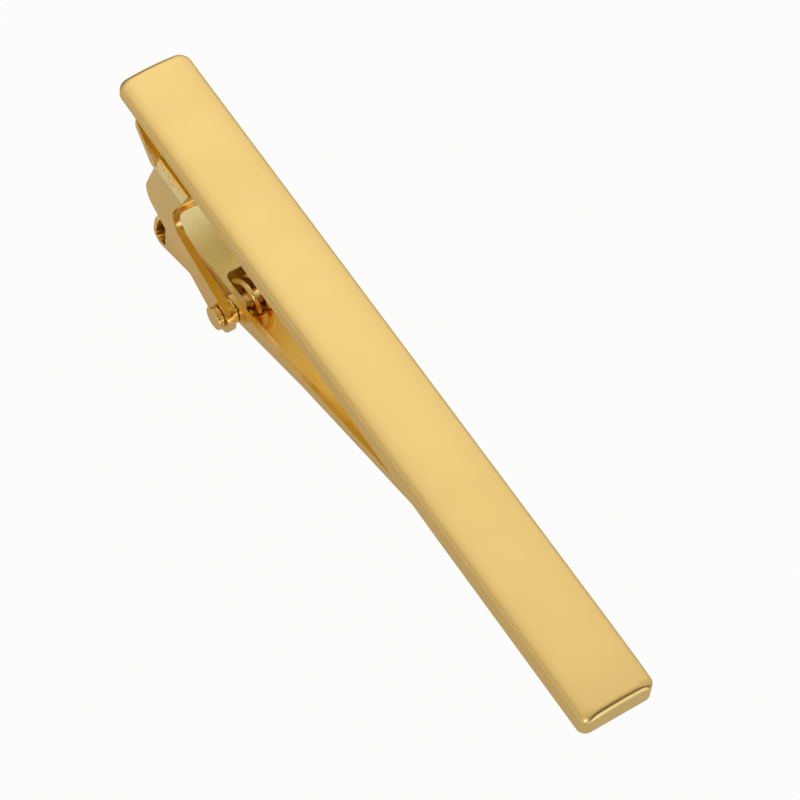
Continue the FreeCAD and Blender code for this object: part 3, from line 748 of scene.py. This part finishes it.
def outline_rows(far_end, near_end, half_width, far_corner, near_corner):
    """Rows across a rounded bar, from its far end to its near end.

    Each row is its place along the bar, its half width, and the outward direction of the outline there.
    """
    rows = []
    for step in range(CORNER_STEPS + 1):
        turn = math.radians(90) * (1 - step / CORNER_STEPS)
        along = far_end + far_corner * (1 - math.sin(turn))
        rows.append((along, half_width - far_corner * (1 - math.cos(turn)), -math.sin(turn), math.cos(turn)))
    start = far_end + far_corner
    stretch = near_end - near_corner - start
    for step in range(1, LENGTH_STEPS):
        rows.append((start + stretch * step / LENGTH_STEPS, half_width, 0.0, 1.0))
    for step in range(CORNER_STEPS + 1):
        turn = math.radians(90) * step / CORNER_STEPS
        along = near_end - near_corner * (1 - math.sin(turn))
        rows.append((along, half_width - near_corner * (1 - math.cos(turn)), math.sin(turn), math.cos(turn)))
    return rows


def rim_order(last_row, last_column):
    """Row and column of each rim point of the front, once around."""
    first_end = [(0, column) for column in range(last_column)]
    right = [(row, last_column) for row in range(last_row)]
    second_end = [(last_row, column) for column in range(last_column, 0, -1)]
    left = [(row, 0) for row in range(last_row, 0, -1)]
    return first_end + right + second_end + left


def end_share(inset, reach):
    """One at an end of the bar, falling to nought at some reach from it."""
    return max(0.0, 1 - inset / reach) ** 2


def roll_profile(share, facet):
    """How far out and down a roll has come: a quarter round, or a shorter round that ends in a facet."""
    turn = math.radians(90) * share
    bend = FACET_ANGLE * min(1.0, 2 * share)
    straight = FACET_LENGTH * max(0.0, 2 * share - 1)
    out = math.sin(bend) + straight * math.cos(FACET_ANGLE)
    down = 1 - math.cos(bend) + straight * math.sin(FACET_ANGLE)
    full_out = math.sin(FACET_ANGLE) + FACET_LENGTH * math.cos(FACET_ANGLE)
    full_down = 1 - math.cos(FACET_ANGLE) + FACET_LENGTH * math.sin(FACET_ANGLE)
    return (
        math.sin(turn) * (1 - facet) + out / full_out * facet,
        (1 - math.cos(turn)) * (1 - facet) + down / full_down * facet,
    )


def bar_mesh(sizes):
    """The bar: a crowned front, soft rolls, upright walls and a back that rises towards the hinge."""
    half_width = (BAR_HIGH.y - BAR_LOW.y) / 2
    outer = outline_rows(BAR_LOW.x, BAR_HIGH.x, half_width, sizes.far_corner, sizes.near_corner)
    inner = outline_rows(
        BAR_LOW.x + sizes.far_roll, BAR_HIGH.x - sizes.near_roll, half_width - sizes.side_roll,
        sizes.far_corner / 2, sizes.near_corner / 2,
    )
    last_row = len(inner) - 1
    work = bmesh.new()
    mark = work.verts.layers.float.new(EDGE_MARK)
    inside = work.verts.layers.float.new(INSIDE_SHADE_MARK)

    def crowned(along, across):
        sag = sizes.near_sag * end_share(BAR_HIGH.x - along, sizes.end_reach)
        return Vector((along, across, BAR_HIGH.z - sag - sizes.crown * (across / half_width) ** 2))

    def front_point(row, column):
        return crowned(inner[row][0], inner[row][1] * (2 * column / WIDTH_STEPS - 1))

    def outline_point(row, column):
        return Vector((outer[row][0], outer[row][1] * (2 * column / WIDTH_STEPS - 1), 0.0))

    front = [
        [work.verts.new(front_point(row, column)) for column in range(WIDTH_STEPS + 1)]
        for row in range(last_row + 1)
    ]
    for row in range(last_row):
        for column in range(WIDTH_STEPS):
            work.faces.new((
                front[row][column], front[row + 1][column], front[row + 1][column + 1], front[row][column + 1]
            ))

    rim = rim_order(last_row, WIDTH_STEPS)
    rings = [[front[row][column] for row, column in rim]]
    for step in range(1, ROLL_STEPS + 1):
        ring = []
        for row, column in rim:
            top = front_point(row, column)
            wall = outline_point(row, column)
            endwise = outer[row][2] ** 2 if column in (0, WIDTH_STEPS) else 1.0
            end_drop = sizes.far_drop if wall.x < 0 else sizes.near_drop
            out, down = roll_profile(step / ROLL_STEPS, endwise if wall.x > 0 else 0.0)
            drop = end_drop * endwise + sizes.side_drop * (1 - endwise)
            place = top.lerp(wall, out)
            point = crowned(place.x, place.y)
            point.z -= drop * down
            vert = work.verts.new(point)
            # Painted highlight and wear: the mark pales the rolls at both ends towards their outer edge, as a
            # bright line
            vert[mark] = endwise * out**2
            ring.append(vert)
        rings.append(ring)
    outline = [outline_point(row, column) for row, column in rim]
    rings += back_rings(work, mark, outline, sizes)
    for upper, lower in zip(rings, rings[1:]):
        for index in range(len(rim)):
            after = (index + 1) % len(rim)
            work.faces.new((upper[index], upper[after], lower[after], lower[index]))
    # The back is marked for the painted deeper shade
    for vert in rings[-1]:
        vert[inside] = 1.0
    fill_back(work, rings[-1])
    bmesh.ops.recalc_face_normals(work, faces=work.faces)
    return even_normals(mesh_from(work))


def back_height(sizes, along):
    """Height of the bar's back: level at the gripping end, then rising towards the hinge."""
    start = BAR_HIGH.x - sizes.flat_back
    return max(0.0, sizes.taper_rise * (start - along) / (start - BAR_LOW.x))


def back_rings(work, mark, outline, sizes):
    """Rings of the round between the walls and the back."""
    radius = sizes.back_round
    rings = []
    for step in range(BACK_STEPS + 1):
        turn = math.radians(90) * step / BACK_STEPS
        ring = []
        for point in outline:
            inward = radius * (1 - math.cos(turn))
            shrink_x = 1 - inward / BAR_HIGH.x
            shrink_y = 1 - inward / BAR_HIGH.y
            height = back_height(sizes, point.x) + radius * (1 - math.sin(turn))
            vert = work.verts.new((point.x * shrink_x, point.y * shrink_y, height))
            # Painted highlight and wear: with the rolls above, this marks the end walls paler and smoother
            vert[mark] = float(abs(point.x) > BAR_HIGH.x - END_WALL_REACH)
            ring.append(vert)
        rings.append(ring)
    return rings


def fill_back(work, ring):
    """Closes the back with strips between facing points of its rim."""
    half = len(ring) // 2
    start = WIDTH_STEPS // 2
    turned = ring[start:] + ring[:start]
    for step in range(half):
        corners = (turned[step], turned[step + 1], turned[-step - 1], turned[-step])
        work.faces.new(list(dict.fromkeys(corners)))


# The spring


def spring_path(sizes, bar):
    """The middle of the wire: a leg on the bar's back, the winding, and a leg on the arm's web."""
    back = back_height(bar, PIVOT.x - sizes.bar_leg_reach)
    bar_foot = Vector((-sizes.bar_leg_reach, 0.0, back - PIVOT.z - sizes.bar_leg_gap - sizes.coil_lift))
    corner = bar_foot - Vector((0.0, 0.0, sizes.bar_leg_end))
    arm_foot = Vector((-sizes.arm_leg_reach, 0.0, -sizes.arm_leg_drop - sizes.coil_lift))
    first = math.atan2(corner.z, corner.x) + math.acos(sizes.coil_radius / corner.length)
    last = math.atan2(arm_foot.z, arm_foot.x) - math.acos(sizes.coil_radius / arm_foot.length)
    sweep = (last - first) % math.tau + math.tau * (sizes.coil_turns - 1)
    half_width = sizes.coil_pitch * sweep / (2 * math.tau)

    winding = []
    steps = round(COIL_STEPS * sweep / math.tau)
    for step in range(steps + 1):
        share = step / steps
        turn = first + sweep * share
        across = half_width * (1 - 2 * share)
        winding.append(
            Vector((sizes.coil_radius * math.cos(turn), across, sizes.coil_radius * math.sin(turn)))
        )
    for point in (bar_foot, corner):
        point.y = half_width
    arm_foot.y = -half_width
    path = [bar_foot, *round_bend(bar_foot, corner, winding[0], sizes.leg_bend), *winding, arm_foot]
    shift = Vector((PIVOT.x, sizes.coil_shift, PIVOT.z + sizes.coil_lift))
    return [point + shift for point in path]


def round_bend(before, corner, after, radius):
    """Points of the arc that rounds a corner between two straight runs."""
    inward = (before - corner).normalized()
    outward = (after - corner).normalized()
    half = inward.angle(outward) / 2
    centre = corner + (inward + outward).normalized() * radius / math.sin(half)
    start = (corner + inward * radius / math.tan(half) - centre).normalized()
    stop = (corner + outward * radius / math.tan(half) - centre).normalized()
    return [centre + radius * start.slerp(stop, step / BEND_STEPS) for step in range(BEND_STEPS + 1)]


def wire_tree():
    """Geometry Nodes that run a round wire along a path and keep each point's place on the wire."""
    tree = bpy.data.node_groups.new("Wire along a path", "GeometryNodeTree")
    tree.interface.new_socket("Path", in_out="INPUT", socket_type="NodeSocketGeometry")
    radius = tree.interface.new_socket("Wire radius", in_out="INPUT", socket_type="NodeSocketFloat")
    sides = tree.interface.new_socket("Sides", in_out="INPUT", socket_type="NodeSocketInt")
    finish = tree.interface.new_socket("Finish", in_out="INPUT", socket_type="NodeSocketMaterial")
    tree.interface.new_socket("Wire", in_out="OUTPUT", socket_type="NodeSocketGeometry")

    start = add_node(tree, "NodeGroupInput", (-900, 0))
    curve = add_node(tree, "GeometryNodeMeshToCurve", (-700, 100))
    along = add_node(tree, "GeometryNodeSplineParameter", (-700, -100))
    keep_along = add_node(tree, "GeometryNodeCaptureAttribute", (-500, 100), domain="POINT")
    keep_along.capture_items.new("FLOAT", "Along")
    profile = add_node(tree, "GeometryNodeCurvePrimitiveCircle", (-700, -300))
    around = add_node(tree, "GeometryNodeSplineParameter", (-700, -500))
    keep_around = add_node(tree, "GeometryNodeCaptureAttribute", (-500, -300), domain="POINT")
    keep_around.capture_items.new("FLOAT", "Around")
    sweep = add_node(tree, "GeometryNodeCurveToMesh", (-250, 0))
    sweep.inputs["Fill Caps"].default_value = True
    place = add_node(tree, "ShaderNodeCombineXYZ", (-250, -250))
    keep_place = add_node(
        tree, "GeometryNodeStoreNamedAttribute", (0, 0), data_type="FLOAT_VECTOR", domain="POINT"
    )
    keep_place.inputs["Name"].default_value = WIRE_PLACE
    smooth = add_node(tree, "GeometryNodeSetShadeSmooth", (200, 0))
    realize = add_node(tree, "GeometryNodeRealizeInstances", (400, 0))
    dress = add_node(tree, "GeometryNodeSetMaterial", (600, 0))
    end = add_node(tree, "NodeGroupOutput", (800, 0))

    for source, out, target, into in (
        (start, "Path", curve, "Mesh"),
        (curve, "Curve", keep_along, "Geometry"),
        (along, "Length", keep_along, "Along"),
        (start, "Wire radius", profile, "Radius"),
        (start, "Sides", profile, "Resolution"),
        (profile, "Curve", keep_around, "Geometry"),
        (around, "Factor", keep_around, "Around"),
        (keep_along, "Geometry", sweep, "Curve"),
        (keep_around, "Geometry", sweep, "Profile Curve"),
        (keep_along, "Along", place, "X"),
        (keep_around, "Around", place, "Y"),
        (sweep, "Mesh", keep_place, "Geometry"),
        (place, "Vector", keep_place, "Value"),
        (keep_place, "Geometry", smooth, "Geometry"),
        (smooth, "Geometry", realize, "Geometry"),
        (realize, "Geometry", dress, "Geometry"),
        (start, "Finish", dress, "Material"),
        (dress, "Geometry", end, "Wire"),
    ):
        tree.links.new(source.outputs[out], target.inputs[into])
    return tree, radius.identifier, sides.identifier, finish.identifier


def spring_mesh(sizes, bar):
    """The wire of the spring as a plain mesh."""
    points = spring_path(sizes, bar)
    path = bpy.data.meshes.new("spring_path")
    path.from_pydata(points, [(index, index + 1) for index in range(len(points) - 1)], [])
    carrier = add_object("spring_path", path)
    tree, radius, sides, finish = wire_tree()
    wire = carrier.modifiers.new("Wire", "NODES")
    wire.node_group = tree
    wire[radius] = sizes.wire_radius
    wire[sides] = sizes.sides
    wire[finish] = finish_named("wire_finish")
    mesh = plain_mesh(carrier)
    carrier.modifiers.remove(wire)
    bpy.data.objects.remove(carrier)
    return mesh


# The stage


def floor_finish(stage):
    """A pale floor: partly plain white to the camera and in reflections, otherwise lit and shadowed."""
    material = bpy.data.materials.new("pale_floor")
    material.use_nodes = True
    tree = material.node_tree
    tree.nodes.remove(tree.nodes["Principled BSDF"])
    output = tree.nodes["Material Output"]
    matt = add_node(tree, "ShaderNodeBsdfDiffuse", (-300, 100))
    matt.inputs["Color"].default_value = (*stage.floor, 1.0)
    white = add_node(tree, "ShaderNodeEmission", (-300, -100))
    path = add_node(tree, "ShaderNodeLightPath", (-900, 300))
    seen = add_math(tree, (-700, 400), "MULTIPLY", path.outputs["Is Camera Ray"], stage.seen_white)
    mirrored = add_math(tree, (-700, 250), "MULTIPLY", path.outputs["Is Glossy Ray"], stage.shown_white)
    passed = add_math(tree, (-700, 100), "MULTIPLY", path.outputs["Is Transmission Ray"], stage.shown_white)
    both = add_math(tree, (-500, 300), "ADD", seen, mirrored)
    share = add_math(tree, (-300, 300), "ADD", both, passed)
    blend = add_node(tree, "ShaderNodeMixShader", (0, 0))
    tree.links.new(share, blend.inputs["Fac"])
    tree.links.new(matt.outputs["BSDF"], blend.inputs[1])
    tree.links.new(white.outputs["Emission"], blend.inputs[2])
    tree.links.new(blend.outputs["Shader"], output.inputs["Surface"])
    return material


def add_floor(stage):
    """A round floor under the lowest point of the clip."""
    work = bmesh.new()
    bmesh.ops.create_circle(work, cap_ends=True, radius=stage.floor_radius, segments=FLOOR_SIDES)
    mesh = mesh_from(work)
    mesh.transform(Matrix.Translation((0.0, 0.0, CAD_BOUNDS[0][2] - FLOOR_GAP)))
    mesh.materials.append(floor_finish(stage))
    add_object("floor", mesh)


def add_room(stage):
    """A plain room: pale overhead, warmer low down, dark at both ends, with low bright strips."""
    world = bpy.data.worlds.new("room")
    world.use_nodes = True
    tree = world.node_tree
    coords = add_node(tree, "ShaderNodeTexCoord", (-1300, 0))
    split = add_node(tree, "ShaderNodeSeparateXYZ", (-1100, 0))
    tree.links.new(coords.outputs["Generated"], split.inputs["Vector"])
    ahead, across, up = split.outputs
    lean = add_math(tree, (-900, 200), "MULTIPLY_ADD", across, OVERHEAD_LEAN, up)
    overhead = add_ramp(tree, (-700, 200), lean, *ROOM_BANDS["overhead"])
    dim_ahead = add_ramp(tree, (-900, 600), ahead, *ROOM_BANDS["dim_ahead"])
    ceiling = add_mix(tree, (-700, 600), "MIX", dim_ahead, stage.ceiling, stage.dim_ceiling)
    walls = add_mix(tree, (-450, 200), "MIX", overhead, stage.wall, ceiling)
    shade_ahead = add_ramp(tree, (-700, -50), ahead, *ROOM_BANDS["shade_ahead"])
    behind = add_math(tree, (-1100, 400), "MULTIPLY", ahead, -1.0)
    shade_behind = add_ramp(tree, (-900, 400), behind, *ROOM_BANDS["shade_behind"])
    shade = add_math(tree, (-450, 0), "MAXIMUM", shade_ahead, shade_behind)
    shaded = add_mix(tree, (-250, 100), "MIX", shade, walls, stage.dark_wall)
    low = add_ramp(tree, (-700, -250), up, *ROOM_BANDS["low_near"])
    near = add_math(tree, (-1100, -500), "MULTIPLY", across, -1.0)
    round_near = add_math(tree, (-900, -450), "MULTIPLY_ADD", ahead, NEAR_SIDE_LEAN, near)
    near_side = add_ramp(tree, (-700, -450), round_near, *ROOM_BANDS["near_side"])
    near_strip = add_math(tree, (-450, -300), "MULTIPLY", low, near_side)
    low_ahead = add_ramp(tree, (-700, -700), up, *ROOM_BANDS["low_ahead"])
    end_side = add_ramp(tree, (-700, -900), ahead, *ROOM_BANDS["end_side"])
    end_strip = add_math(tree, (-450, -700), "MULTIPLY", low_ahead, end_side)
    strip = add_math(tree, (-250, -400), "MAXIMUM", near_strip, end_strip)
    room = add_mix(tree, (-50, 0), "MIX", strip, shaded, [stage.low_light] * 3)
    tree.links.new(room, tree.nodes["Background"].inputs["Color"])
    bpy.context.scene.world = world


def add_soft_lamp(name, direction, distance, width, length, level):
    """An oblong lamp that faces the clip and looks as bright as its level."""
    lamp = bpy.data.lights.new(name, "AREA")
    lamp.shape = "RECTANGLE"
    lamp.size = width
    lamp.size_y = length
    lamp.energy = level * math.pi * width * length
    towards = Vector(direction).normalized()
    facing = towards.to_track_quat("Z", "Y").to_matrix().to_4x4()
    add_object(name, lamp).matrix_world = Matrix.Translation(towards * distance) @ facing


def add_camera(stage):
    """The camera at the photograph's angle."""
    place = Vector(stage.camera_place)
    forward = (Vector(stage.camera_aim) - place).normalized()
    level = (Vector((0.0, 0.0, 1.0)) - forward * forward.z).normalized()
    up = level * math.cos(stage.camera_roll) + forward.cross(level) * math.sin(stage.camera_roll)
    turn = Matrix((forward.cross(up), up, -forward)).transposed()
    data = bpy.data.cameras.new("camera")
    data.sensor_width = FRAME_WIDTH
    data.lens = stage.lens
    data.clip_start = CLIP_START
    camera = add_object("camera", data)
    camera.matrix_world = Matrix.Translation(place) @ turn.to_4x4()
    bpy.context.scene.camera = camera


# Operators


class TIECLIP_OT_stage(Operator):
    """Sets up the floor, the room, the lamps and the camera"""

    bl_idname = "tie_clip.stage"
    bl_label = "Stage"

    def execute(self, context):
        stage = context.scene.tie_clip.stage
        add_floor(stage)
        add_room(stage)
        add_soft_lamp(
            "key_lamp", stage.key_direction, stage.key_distance, stage.key_width, stage.key_length,
            stage.key_level,
        )
        add_soft_lamp(
            "glint_lamp", stage.glint_direction, stage.key_distance, stage.glint_side, stage.glint_side,
            stage.glint_level,
        )
        add_camera(stage)
        context.scene.view_settings.view_transform = "Standard"
        return {"FINISHED"}


class TIECLIP_OT_bar(Operator):
    """Makes the satin bar"""

    bl_idname = "tie_clip.bar"
    bl_label = "Bar"

    def execute(self, context):
        mesh = bar_mesh(context.scene.tie_clip.bar)
        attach(add_piece("satin_bar", mesh, "bar", "satin_finish"), "front")
        return {"FINISHED"}


class TIECLIP_OT_bracket(Operator):
    """Makes the folded hinge bracket"""

    bl_idname = "tie_clip.bracket"
    bl_label = "Hinge bracket"

    def execute(self, context):
        sheet = context.scene.tie_clip.sheet
        mesh = rounded_node("hinge_bracket", sheet.sheet_edge, sheet.edge_steps)
        half_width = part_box("hinge_bracket")[1].y
        mark_folds(mesh, half_width, sheet.fold_depth, sheet.fold_radius)
        # The bracket's inside is marked for painted shade
        mark_inside_shade(mesh, half_width - sheet.bracket_sheet)
        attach(add_piece("folded_bracket", mesh, "hinge_bracket", "folded_finish"), "front")
        return {"FINISHED"}


class TIECLIP_OT_arm(Operator):
    """Makes the clamp arm and the lever plate that is nested in it"""

    bl_idname = "tie_clip.arm"
    bl_label = "Clamp arm and lever plate"

    def execute(self, context):
        sheet = context.scene.tie_clip.sheet
        arm = rounded_node("clamp_arm", sheet.sheet_edge, sheet.edge_steps)
        # The arm's channel is marked for painted shade
        mark_inside_shade(arm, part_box("clamp_arm")[1].y - sheet.arm_sheet)
        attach(add_piece("channel_arm", arm, "clamp_arm", "polished_finish"), "arm")
        plate = rounded_node("lever_plate", sheet.sheet_edge, sheet.edge_steps)
        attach(add_piece("slotted_plate", plate, "lever_plate", "matt_finish"), "arm")
        return {"FINISHED"}


class TIECLIP_OT_pin(Operator):
    """Makes the pivot pin and its two washers"""

    bl_idname = "tie_clip.pin"
    bl_label = "Pivot pin and washers"

    def execute(self, context):
        sheet = context.scene.tie_clip.sheet
        turned = (
            ("headed_pin", "pivot_pin"),
            ("near_washer", "spacer_washer_near"),
            ("far_washer", "spacer_washer_far"),
        )
        for name, node in turned:
            mesh = rounded_node(node, sheet.turned_edge, sheet.edge_steps)
            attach(add_piece(name, mesh, node, "polished_finish"), "front")
        return {"FINISHED"}


class TIECLIP_OT_spring(Operator):
    """Makes the wound spring, with one leg on the bar's back and one on the arm's web"""

    bl_idname = "tie_clip.spring"
    bl_label = "Torsion spring"

    def execute(self, context):
        sizes = context.scene.tie_clip.spring
        mesh = spring_mesh(sizes, context.scene.tie_clip.bar)
        piece = add_piece("wound_spring", mesh, "torsion_spring", "wire_finish")
        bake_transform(piece)
        return {"FINISHED"}


class VIEW3D_PT_tie_clip(Panel):
    """Lists the settings and the steps that make the tie clip."""

    bl_label = "Tie clip"
    bl_space_type = "VIEW_3D"
    bl_region_type = "UI"
    bl_category = "Tie Clip"

    def draw(self, context):
        settings = context.scene.tie_clip
        for group in (settings.bar, settings.sheet, settings.spring, settings.finish, settings.stage):
            box = self.layout.box()
            for name in group.__annotations__:
                box.prop(group, name)
        for operator in OPERATORS:
            self.layout.operator(operator.bl_idname)


GROUPS = (TieClipBar, TieClipSheet, TieClipSpring, TieClipFinish, TieClipStage, TieClipSettings)
OPERATORS = (
    TIECLIP_OT_stage,
    TIECLIP_OT_bar,
    TIECLIP_OT_bracket,
    TIECLIP_OT_arm,
    TIECLIP_OT_pin,
    TIECLIP_OT_spring,
)
CLASSES = (*GROUPS, *OPERATORS, VIEW3D_PT_tie_clip)


def register():
    """Registers the classes and hangs the settings on the scene."""
    for kind in CLASSES:
        bpy.utils.register_class(kind)
    bpy.types.Scene.tie_clip = PointerProperty(
        type=TieClipSettings, name="Tie clip", description="The tie clip"
    )


def unregister():
    """Takes the settings and the classes away again."""
    del bpy.types.Scene.tie_clip
    for kind in reversed(CLASSES):
        bpy.utils.unregister_class(kind)


def main():
    """Makes the whole clip and its stage."""
    register()
    for name in ("stage", "bar", "bracket", "arm", "pin", "spring"):
        getattr(bpy.ops.tie_clip, name)()


if __name__ == "__main__":
    main()
